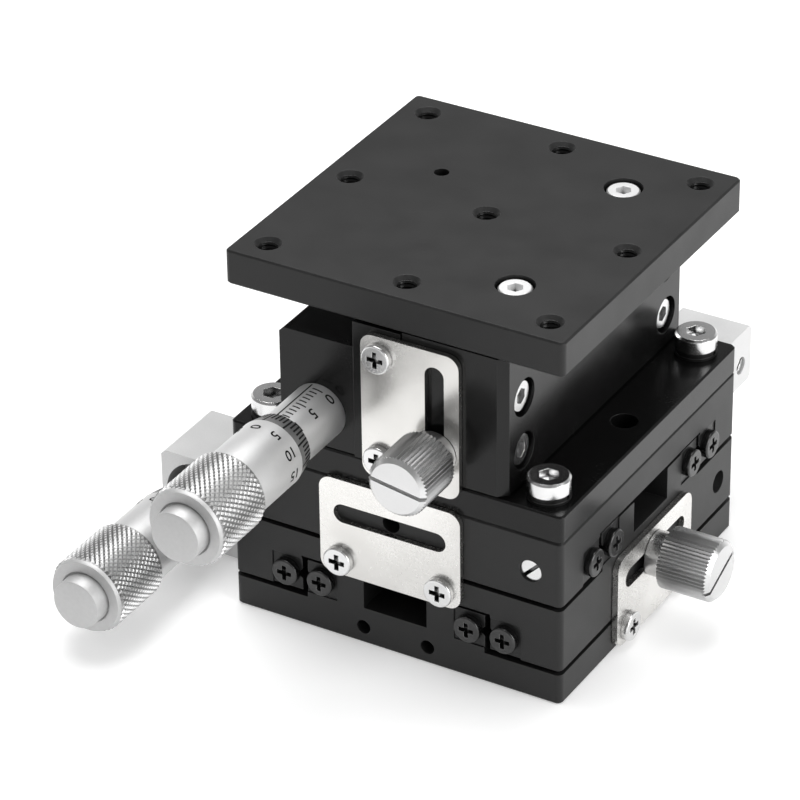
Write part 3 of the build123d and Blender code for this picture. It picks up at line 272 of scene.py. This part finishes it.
def satin_chrome(name, stretch):
    """The chrome of the micrometer heads, its grain squeezed along one axis."""
    return metal(name, tone(0.66), tone(0.74), (0.44, 0.52), 0.85, grain=1200.0, cloud=60.0,
                 relief=0.0006 * MM, stretch=stretch, edge=tone(0.8))


black_anodised = metal("black_anodised", tone(0.009), tone(0.016), (0.38, 0.46), 0.0, grain=4500.0,
                       cloud=120.0, relief=0.004 * MM, edge=tone(0.06), edge_radius=0.14 * MM,
                       specular=0.32)
black_glossy = metal("black_glossy", tone(0.003), tone(0.006), (0.2, 0.26), 0.0, grain=4500.0, cloud=120.0,
                     relief=0.002 * MM, edge=tone(0.07), edge_radius=0.14 * MM, specular=0.26)
clear_anodised = metal("clear_anodised", tone(0.60), tone(0.68), (0.42, 0.5), 0.55, grain=4500.0,
                       relief=0.003 * MM, edge=tone(0.8), edge_radius=0.15 * MM)
lock_plate_steel = metal("lock_plate_steel", (0.60, 0.59, 0.57), (0.84, 0.83, 0.81), (0.22, 0.3), 1.0,
                         grain=1800.0, cloud=55.0, relief=0.0001 * MM, edge_radius=0.02 * MM,
                         grain_share=0.08)
# Plated screws: painted shade in their sockets and recesses and round their heads
plated_screw = metal("plated_screw", tone(0.66), tone(0.76), (0.2, 0.26), 1.0, grain=3000.0, cloud=80.0,
                     relief=0.0003 * MM, edge=tone(0.88), grain_share=0.3, hollow=tone(0.06))
plated_satin = metal("plated_satin", tone(0.8), tone(0.88), (0.34, 0.4), 0.5, grain=3000.0, cloud=80.0,
                     relief=0.0003 * MM, edge=tone(0.9), grain_share=0.3, hollow=tone(0.1))
# Black screws: the bright colour on their rims is a painted highlight
black_oxide = metal("black_oxide", tone(0.045), tone(0.075), (0.18, 0.24), 0.9, grain=3000.0, cloud=300.0,
                    relief=0.001 * MM, edge=tone(0.5), edge_radius=0.12 * MM)
black_washer = metal("black_washer", tone(0.008), tone(0.015), (0.34, 0.42), 0.5, grain=3000.0, cloud=300.0,
                     relief=0.002 * MM, edge=tone(0.12), edge_radius=0.08 * MM)
black_rail = metal("black_rail", tone(0.012), tone(0.03), (0.3, 0.4), 0.6, grain=3000.0, relief=0.002 * MM,
                   edge=tone(0.3), edge_radius=0.12 * MM)
ground_steel = metal("ground_steel", tone(0.42), tone(0.55), (0.2, 0.32), 1.0, grain=2000.0,
                     relief=0.001 * MM, stretch=(1, 30, 1), edge=tone(0.7))
cage_brass = metal("cage_brass", (0.42, 0.30, 0.13), (0.56, 0.42, 0.20), (0.25, 0.38), 1.0, grain=2500.0,
                   relief=0.002 * MM)
head_chrome = satin_chrome("head_chrome", (1, 12, 1))
head_chrome_x = satin_chrome("head_chrome_x", (12, 1, 1))
# The knurl is one chrome, painted lighter on its crests as a painted highlight and darker on its groove
# sides as painted shade
knurl_crest_lit = metal("knurl_crest_lit", tone(0.82), tone(0.9), (0.3, 0.4), 0.9, grain=3000.0, cloud=80.0,
                    relief=0.0006 * MM, edge_radius=0.03 * MM)
knurl_groove_shaded = metal("knurl_groove_shaded", tone(0.38), tone(0.46), (0.3, 0.4), 1.0, grain=3000.0, cloud=80.0,
                     relief=0.0006 * MM, edge_radius=0.02 * MM)
# The taper band of each thimble: the same satin chrome as its sleeve, painted dark as a painted dark
# reflection
head_band_painted_dark = metal("head_band_painted_dark", tone(0.2), tone(0.27), (0.4, 0.48), 0.85, grain=1500.0, cloud=70.0,
                  relief=0.0006 * MM, edge=tone(0.8))
# The end ring and cap: the same satin chrome, painted darker as painted shade that tones down their
# highlights
head_end_shaded = metal("head_end_shaded", tone(0.48), tone(0.56), (0.52, 0.6), 0.7, grain=1500.0, cloud=70.0,
                 relief=0.0006 * MM, edge=tone(0.75))
knob_steel = metal("knob_steel", tone(0.56), tone(0.66), (0.28, 0.34), 1.0, grain=2500.0, cloud=80.0,
                   relief=0.0002 * MM, edge_radius=0.02 * MM, grain_share=0.15)
mark_paint = flat_paint("mark_paint", tone(0.006), 0.6)

MATERIAL_OF_SLOT = {
    "black_plate": black_anodised,
    "silver_block": clear_anodised,
    "lock_plate_steel": lock_plate_steel,
    "plated_screw": plated_screw,
    "black_screw": black_oxide,
    "black_rail": black_rail,
    "ground_steel": ground_steel,
    "roller_cage": cage_brass,
    "head_chrome": head_chrome,
    "knob_steel": knob_steel,
}


def set_material(obj, material):
    """Gives an object one material."""
    obj.data.materials.clear()
    obj.data.materials.append(material)


def smooth_by_angle(mesh):
    """Smooth shading, with edges kept sharp above a limit angle."""
    mesh.shade_smooth()
    mesh.set_sharp_from_angle(angle=math.radians(SMOOTH_ANGLE))


def round_edges(obj):
    """Rounds the sharp edges of a stamped plate."""
    bevel = obj.modifiers.new("rounded_edges", "BEVEL")
    bevel.width = PLATE_EDGE
    bevel.segments = PLATE_EDGE_STEPS
    bevel.limit_method = "ANGLE"
    bevel.angle_limit = math.radians(PLATE_EDGE_ANGLE)
    bevel.harden_normals = True


for part in frame["record"]["subparts"]:
    set_material(frame["nodes"][part["node"]], MATERIAL_OF_SLOT[part["material_slot"]])
for name in GLOSSY_NODES:
    set_material(frame["nodes"][name], black_glossy)
set_material(frame["nodes"]["z_corner_washers"], black_washer)
set_material(frame["nodes"]["table_screws"], plated_satin)
for obj in frame["nodes"].values():
    smooth_by_angle(obj.data)
for name in LOCK_PLATES:
    round_edges(frame["nodes"][name])


def object_from(bm, name, material, body, smooth=True):
    """Makes an object from a bmesh and lets it ride on a body."""
    bmesh.ops.recalc_face_normals(bm, faces=bm.faces)
    mesh = bpy.data.meshes.new(name)
    bm.to_mesh(mesh)
    bm.free()
    if smooth:
        smooth_by_angle(mesh)
    obj = bpy.data.objects.new(name, mesh)
    bpy.context.scene.collection.objects.link(obj)
    mesh.materials.append(material)
    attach(obj, body)
    return obj


def head_matrix(axis):
    """The frame of a micrometer head: origin at its thimble's rim, Z towards its spindle's tip."""
    low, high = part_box(f"{axis}_thimble")
    centre = (low + high) / 2
    if axis == "x":
        origin = Vector((high.x, centre.y, centre.z))
        columns = (Vector((0, -1, 0)), Vector((0, 0, -1)), Vector((1, 0, 0)))
    else:
        origin = Vector((centre.x, high.y, centre.z))
        columns = (Vector((1, 0, 0)), Vector((0, 0, -1)), Vector((0, 1, 0)))
    matrix = Matrix(columns).transposed().to_4x4()
    return Matrix.Translation(origin) @ matrix


def vertex(bm, matrix, radius, angle, along):
    """A vertex at an angle round an axis."""
    return bm.verts.new(matrix @ Vector((radius * math.cos(angle), radius * math.sin(angle), along)))


def spot(bm, matrix, radius, column, along, segments=SEGMENTS):
    """A vertex whose column is counted in segments round the axis."""
    return vertex(bm, matrix, radius, TURN * column / segments, along)


def ring(bm, matrix, radius, along, segments=SEGMENTS):
    """A ring of vertices."""
    return [spot(bm, matrix, radius, i, along, segments) for i in range(segments)]


def join_rings(bm, first, second):
    """Quads between two rings."""
    count = len(first)
    made = []
    for i in range(count):
        j = (i + 1) % count
        made.append(bm.faces.new((first[i], first[j], second[j], second[i])))
    return made


def close_ring(bm, verts):
    """A fan that closes a ring at its centre."""
    centre = bm.verts.new(sum((v.co for v in verts), Vector()) / len(verts))
    for i, vert in enumerate(verts):
        bm.faces.new((vert, verts[(i + 1) % len(verts)], centre))


def knurl(bm, matrix, start, end, radius):
    """A knurl of flat-topped diamonds between grooves. Gives both edge rings, crests and groove sides."""
    count = max(2, round((start - end) / KNURL_ROW / 2) * 2)
    step = (end - start) / count
    rows = []
    for j in range(count + 1):
        columns = [i for i in range(SEGMENTS) if j in (0, count) or (i + j) % 2]
        rows.append({i: spot(bm, matrix, radius - KNURL_DEPTH, i, start + step * j) for i in columns})
    corners = ((-KNURL_FLAT, 0), (0, -KNURL_FLAT), (KNURL_FLAT, 0), (0, KNURL_FLAT))
    crests = []
    sides = []
    for j in range(1, count):
        for i in range(j % 2, SEGMENTS, 2):
            left = rows[j][(i - 1) % SEGMENTS]
            right = rows[j][(i + 1) % SEGMENTS]
            foot = (left, rows[j - 1][i], right, rows[j + 1][i])
            crest = [spot(bm, matrix, radius, i + a, start + step * (j + b)) for a, b in corners]
            crests.append(bm.faces.new(crest))
            for k in range(4):
                m = (k + 1) % 4
                sides.append(bm.faces.new((foot[k], foot[m], crest[m], crest[k])))
    for edge, inner in ((0, 1), (count, count - 1)):
        for i in range(0, SEGMENTS, 2):
            for other in (i - 1, i + 1):
                sides.append(bm.faces.new((rows[edge][i], rows[edge][other % SEGMENTS], rows[inner][i])))
    return list(rows[0].values()), list(rows[count].values()), crests, sides


def thimble(axis, material):
    """Thimble with tapered rim, sleeve, knurled grip and end cap."""
    matrix = head_matrix(axis)
    low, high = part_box(f"{axis}_thimble")
    size = high - low
    length = max(size)
    radius = min(size) / 2
    end = -length + CAP_LENGTH
    grip = end + GRIP_LENGTH
    bm = bmesh.new()
    finish = bm.faces.layers.int.new("finish")
    front = [
        ring(bm, matrix, BORE_RADIUS, end + BACK_WALL),
        ring(bm, matrix, BORE_RADIUS, -RIM_ROUND),
        ring(bm, matrix, BORE_RADIUS + RIM_ROUND / 2, 0.0),
        ring(bm, matrix, LIP_RADIUS - RIM_ROUND / 2, 0.0),
        ring(bm, matrix, LIP_RADIUS, -RIM_ROUND / 2),
        ring(bm, matrix, SLEEVE_RADIUS, -TAPER_LENGTH),
        ring(bm, matrix, SLEEVE_RADIUS, grip + SLEEVE_GAP),
    ]
    first, last, crests, sides = knurl(bm, matrix, grip - GRIP_STEP, end + GRIP_EDGE, radius)
    round_step = CAP_ROUND * CAP_ROUND_SHARE
    back = [
        ring(bm, matrix, radius - KNURL_DEPTH, end + GRIP_EDGE * GRIP_EDGE_SHARE),
        ring(bm, matrix, radius - GRIP_EDGE * GRIP_EDGE_SHARE, end),
        ring(bm, matrix, CAP_RADIUS + CAP_GROOVE, end),
        ring(bm, matrix, CAP_RADIUS, end + CAP_GROOVE),
        ring(bm, matrix, CAP_RADIUS, end - CAP_LENGTH + CAP_ROUND),
        ring(bm, matrix, CAP_RADIUS - round_step, end - CAP_LENGTH + round_step),
        ring(bm, matrix, CAP_RADIUS - CAP_ROUND, end - CAP_LENGTH),
    ]
    for one, other in zip(front, front[1:]):
        band = join_rings(bm, one, other)
        if other is front[TAPER_RING]:
            for face in band:
                face[finish] = BAND_FACES
    join_rings(bm, front[-1], first)
    close_ring(bm, front[0])
    for face in crests:
        face[finish] = CREST_FACES
    for face in sides:
        face[finish] = GROOVE_FACES
    before = len(bm.faces)
    join_rings(bm, last, back[0])
    for one, other in zip(back, back[1:]):
        join_rings(bm, one, other)
    close_ring(bm, back[-1])
    bm.faces.ensure_lookup_table()
    for face in bm.faces[before:]:
        face[finish] = END_FACES
    obj = object_from(bm, f"{axis}_thimble_knurled", material, f"{axis}_thimble_body")
    for extra in (knurl_crest_lit, knurl_groove_shaded, head_end_shaded, head_band_painted_dark):
        obj.data.materials.append(extra)
    finishes = obj.data.attributes["finish"].data
    for polygon in obj.data.polygons:
        polygon.material_index = finishes[polygon.index].value
        if polygon.material_index in (CREST_FACES, GROOVE_FACES):
            polygon.use_smooth = False
    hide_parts(f"{axis}_thimble")


def wrapped_mark(bm, matrix, along, span, angle, arc, radius_at, steps):
    """A thin closed mark on a round surface: from along to along - span, from angle to angle + arc."""
    layers = []
    for lift in (-MARK_RELIEF, MARK_RELIEF):
        rows = []
        for z in (along, along - span):
            row = []
            for i in range(steps + 1):
                row.append(vertex(bm, matrix, radius_at(z) + lift, angle + arc * i / steps, z))
            rows.append(row)
        layers.append(rows)
    below, above = layers
    for i in range(steps):
        bm.faces.new((above[0][i], above[0][i + 1], above[1][i + 1], above[1][i]))
        bm.faces.new((below[0][i], below[0][i + 1], below[1][i + 1], below[1][i]))
        for k in (0, 1):
            bm.faces.new((above[k][i], above[k][i + 1], below[k][i + 1], below[k][i]))
    for i in (0, steps):
        bm.faces.new((above[0][i], above[1][i], below[1][i], below[0][i]))


def number(bm, matrix, text, size, along, angle, radius):
    """A number on a round surface: it reads away from the spindle's tip, with its top further round."""
    curve = bpy.data.curves.new("number", "FONT")
    curve.body = text
    curve.size = size
    curve.align_x = "CENTER"
    curve.align_y = "CENTER"
    curve.extrude = MARK_RELIEF
    curve.offset = DIGIT_WEIGHT
    curve.resolution_u = DIGIT_CURVE_STEPS
    holder = bpy.data.objects.new("number", curve)
    bpy.context.scene.collection.objects.link(holder)
    bpy.context.view_layer.update()
    flat = bmesh.new()
    flat.from_mesh(holder.evaluated_get(bpy.context.evaluated_depsgraph_get()).to_mesh())
    slices = int(size / DIGIT_SLICE)
    for k in range(-slices, slices + 1):
        everything = list(flat.verts) + list(flat.edges) + list(flat.faces)
        bmesh.ops.bisect_plane(flat, geom=everything, plane_co=(0, k * DIGIT_SLICE, 0), plane_no=(0, 1, 0))
    verts = {}
    for vert in flat.verts:
        turn = angle + vert.co.y / radius
        verts[vert] = vertex(bm, matrix, radius + vert.co.z, turn, along - vert.co.x)
    for face in flat.faces:
        bm.faces.new([verts[vert] for vert in face.verts])
    flat.free()
    bpy.data.objects.remove(holder)


def sleeve_radius(z):
    """Radius of a thimble's outside at a distance behind its rim."""
    share = min(1.0, max(0.0, -z / TAPER_LENGTH))
    return LIP_RADIUS + (SLEEVE_RADIUS - LIP_RADIUS) * share


def barrel_radius(z):
    """Radius of a barrel's scale, the same all along."""
    return BARREL_RADIUS


def thimble_marks(axis):
    """The divisions and numbers round a thimble's rim."""
    matrix = head_matrix(axis)
    bm = bmesh.new()
    start = math.radians(DATUM_ANGLE)
    width = MARK_WIDTH / LIP_RADIUS
    for i in range(DIVISIONS):
        angle = start + TURN * i / DIVISIONS
        numbered = i % NUMBERED_EVERY == 0
        length = TAPER_LENGTH - LONG_TICK_SPARE if numbered else SHORT_TICK
        wrapped_mark(bm, matrix, -TICK_FROM_RIM, length, angle - width / 2, width, sleeve_radius, 1)
        if numbered:
            number(bm, matrix, str(i), THIMBLE_DIGIT_SIZE, -THIMBLE_DIGIT_PLACE, angle, SLEEVE_RADIUS)
    object_from(bm, f"{axis}_thimble_marks", mark_paint, f"{axis}_thimble_body",
                smooth=False)


def barrel_marks(axis, body):
    """The datum line, millimetre marks and numbers of a barrel's scale."""
    matrix = head_matrix(axis)
    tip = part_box(f"{axis}_micrometer_barrel")[1]
    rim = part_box(f"{axis}_thimble")[1]
    index = 0 if axis == "x" else 1
    shoulder = tip[index] - STEM_LENGTH - rim[index]
    bm = bmesh.new()
    start = math.radians(DATUM_ANGLE)
    width = MARK_WIDTH / BARREL_RADIUS
    last = FIRST_MARK + SCALE_LENGTH * SCALE_PITCH
    wrapped_mark(bm, matrix, shoulder - DATUM_FROM_SHOULDER, last, start - width / 2, width,
                 barrel_radius, 1)
    first_angle = start + math.radians(MARK_FROM_DATUM)
    digit_angle = start + math.radians(BARREL_DIGIT_ANGLE)
    for i in range(SCALE_LENGTH + 1):
        along = shoulder - FIRST_MARK - i * SCALE_PITCH
        numbered = i % NUMBERED_EVERY == 0
        arc = math.radians(LONG_MARK_ARC if numbered else SHORT_MARK_ARC)
        wrapped_mark(bm, matrix, along + MARK_WIDTH / 2, MARK_WIDTH, first_angle, arc, barrel_radius,
                     MARK_STEPS)
        if numbered:
            number(bm, matrix, str(i), BARREL_DIGIT_SIZE, along, digit_angle, BARREL_RADIUS)
    object_from(bm, f"{axis}_barrel_marks", mark_paint, body, smooth=False)


def table_threads():
    """The thread ridges in the table's nine holes."""
    low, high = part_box("table_plate")
    centre = (low + high) / 2
    bm = bmesh.new()
    for i in (-1, 0, 1):
        for j in (-1, 0, 1):
            place = Matrix.Translation((centre.x + i * HOLE_PITCH, centre.y + j * HOLE_PITCH, high.z))
            wall = (THREAD_TOP, THREAD_TOP - THREAD_TURNS * THREAD_PITCH)
            rings = [ring(bm, place, THREAD_WALL, z, THREAD_SEGMENTS) for z in wall[::-1]]
            for k in range(2 * THREAD_TURNS + 1):
                radius = THREAD_CREST if k % 2 else THREAD_ROOT
                rings.append(ring(bm, place, radius, wall[0] - k * THREAD_PITCH / 2, THREAD_SEGMENTS))
            for one, other in zip(rings, rings[1:] + rings[:1]):
                join_rings(bm, one, other)
    object_from(bm, "table_threads", black_glossy, "z_table", smooth=False)


table_threads()
for axis, body in BARREL_BODY.items():
    material = head_chrome_x if axis == "x" else head_chrome
    thimble(axis, material)
    set_material(frame["nodes"][f"{axis}_micrometer_barrel"], material)
    thimble_marks(axis)
    barrel_marks(axis, body)


def seen_directly(tree):
    """1 where the camera, a reflection or a refraction looks at a surface, and 0 where it lights others."""
    path = node(tree, "ShaderNodeLightPath").outputs
    sharp = maths(tree, "MAXIMUM", path["Is Camera Ray"], path["Is Glossy Ray"])
    return maths(tree, "MAXIMUM", sharp, path["Is Transmission Ray"])


def make_floor():
    """A pale floor that keeps the stage's soft shadow."""
    bm = bmesh.new()
    bmesh.ops.create_grid(bm, x_segments=1, y_segments=1, size=FLOOR_SIZE / 2)
    mesh = bpy.data.meshes.new("floor")
    bm.to_mesh(mesh)
    bm.free()
    floor = bpy.data.objects.new("floor", mesh)
    bpy.context.scene.collection.objects.link(floor)
    material = bpy.data.materials.new("floor")
    material.use_nodes = True
    tree = material.node_tree
    tree.nodes.remove(tree.nodes["Principled BSDF"])
    matte = node(tree, "ShaderNodeBsdfDiffuse", {"Color": (*tone(FLOOR_TONE), 1)}).outputs[0]
    lift = maths(tree, "MULTIPLY", seen_directly(tree), FLOOR_GLOW)
    glow = node(tree, "ShaderNodeEmission", {"Color": WHITE, "Strength": lift}).outputs[0]
    total = node(tree, "ShaderNodeAddShader", {0: matte, 1: glow}).outputs[0]
    tree.links.new(total, tree.nodes["Material Output"].inputs["Surface"])
    mesh.materials.append(material)


def make_world():
    """Even soft light; the camera and reflections see a white horizon under a grey ceiling."""
    world = bpy.data.worlds.new("studio")
    bpy.context.scene.world = world
    world.use_nodes = True
    tree = world.node_tree
    direction = node(tree, "ShaderNodeTexCoord").outputs["Generated"]
    height = node(tree, "ShaderNodeSeparateXYZ", {"Vector": direction}).outputs["Z"]
    limits = {"From Min": HORIZON_TOP, "From Max": CEILING_START, "To Min": 1.0, "To Max": CEILING_LEVEL}
    shade = node(tree, "ShaderNodeMapRange", {"Value": height, **limits}, interpolation_type="SMOOTHSTEP")
    level = ramp(tree, seen_directly(tree), WORLD_LEVEL, shade.outputs[0], 0.0, 1.0)
    background = tree.nodes["Background"]
    background.inputs["Color"].default_value = WHITE
    tree.links.new(level, background.inputs["Strength"])


def softbox(name, place, aim, size, power):
    """A square area lamp that points at a place."""
    lamp = bpy.data.lights.new(name, "AREA")
    lamp.shape = "SQUARE"
    lamp.size = size
    lamp.energy = power
    obj = bpy.data.objects.new(name, lamp)
    bpy.context.scene.collection.objects.link(obj)
    obj.location = place
    obj.rotation_mode = "QUATERNION"
    obj.rotation_quaternion = (Vector(aim) - Vector(place)).to_track_quat("-Z", "Y")


def make_camera():
    """The camera at the photograph's angle and distance."""
    azimuth = math.radians(CAMERA_AZIMUTH)
    elevation = math.radians(CAMERA_ELEVATION)
    back = Vector((math.sin(azimuth) * math.cos(elevation), -math.cos(azimuth) * math.cos(elevation),
                   math.sin(elevation)))
    level = Vector((0, 0, 1)).cross(back).normalized()
    upright = back.cross(level)
    roll = math.radians(CAMERA_ROLL)
    right = level * math.cos(roll) + upright * math.sin(roll)
    up = upright * math.cos(roll) - level * math.sin(roll)
    data = bpy.data.cameras.new("camera")
    data.sensor_width = SENSOR_WIDTH
    data.lens = FOCAL_LENGTH_PIXELS * SENSOR_WIDTH / IMAGE_PIXELS
    data.clip_start = NEAR_CLIP
    camera = bpy.data.objects.new("camera", data)
    bpy.context.scene.collection.objects.link(camera)
    rotation = Matrix((right, up, back)).transposed().to_4x4()
    camera.matrix_world = Matrix.Translation(CAMERA_TARGET + back * CAMERA_DISTANCE) @ rotation
    bpy.context.scene.camera = camera


make_floor()
make_world()
for name, (place, aim, size, power) in LAMPS.items():
    softbox(name, place, aim, size, power)
make_camera()
bpy.context.scene.view_settings.view_transform = "Standard"
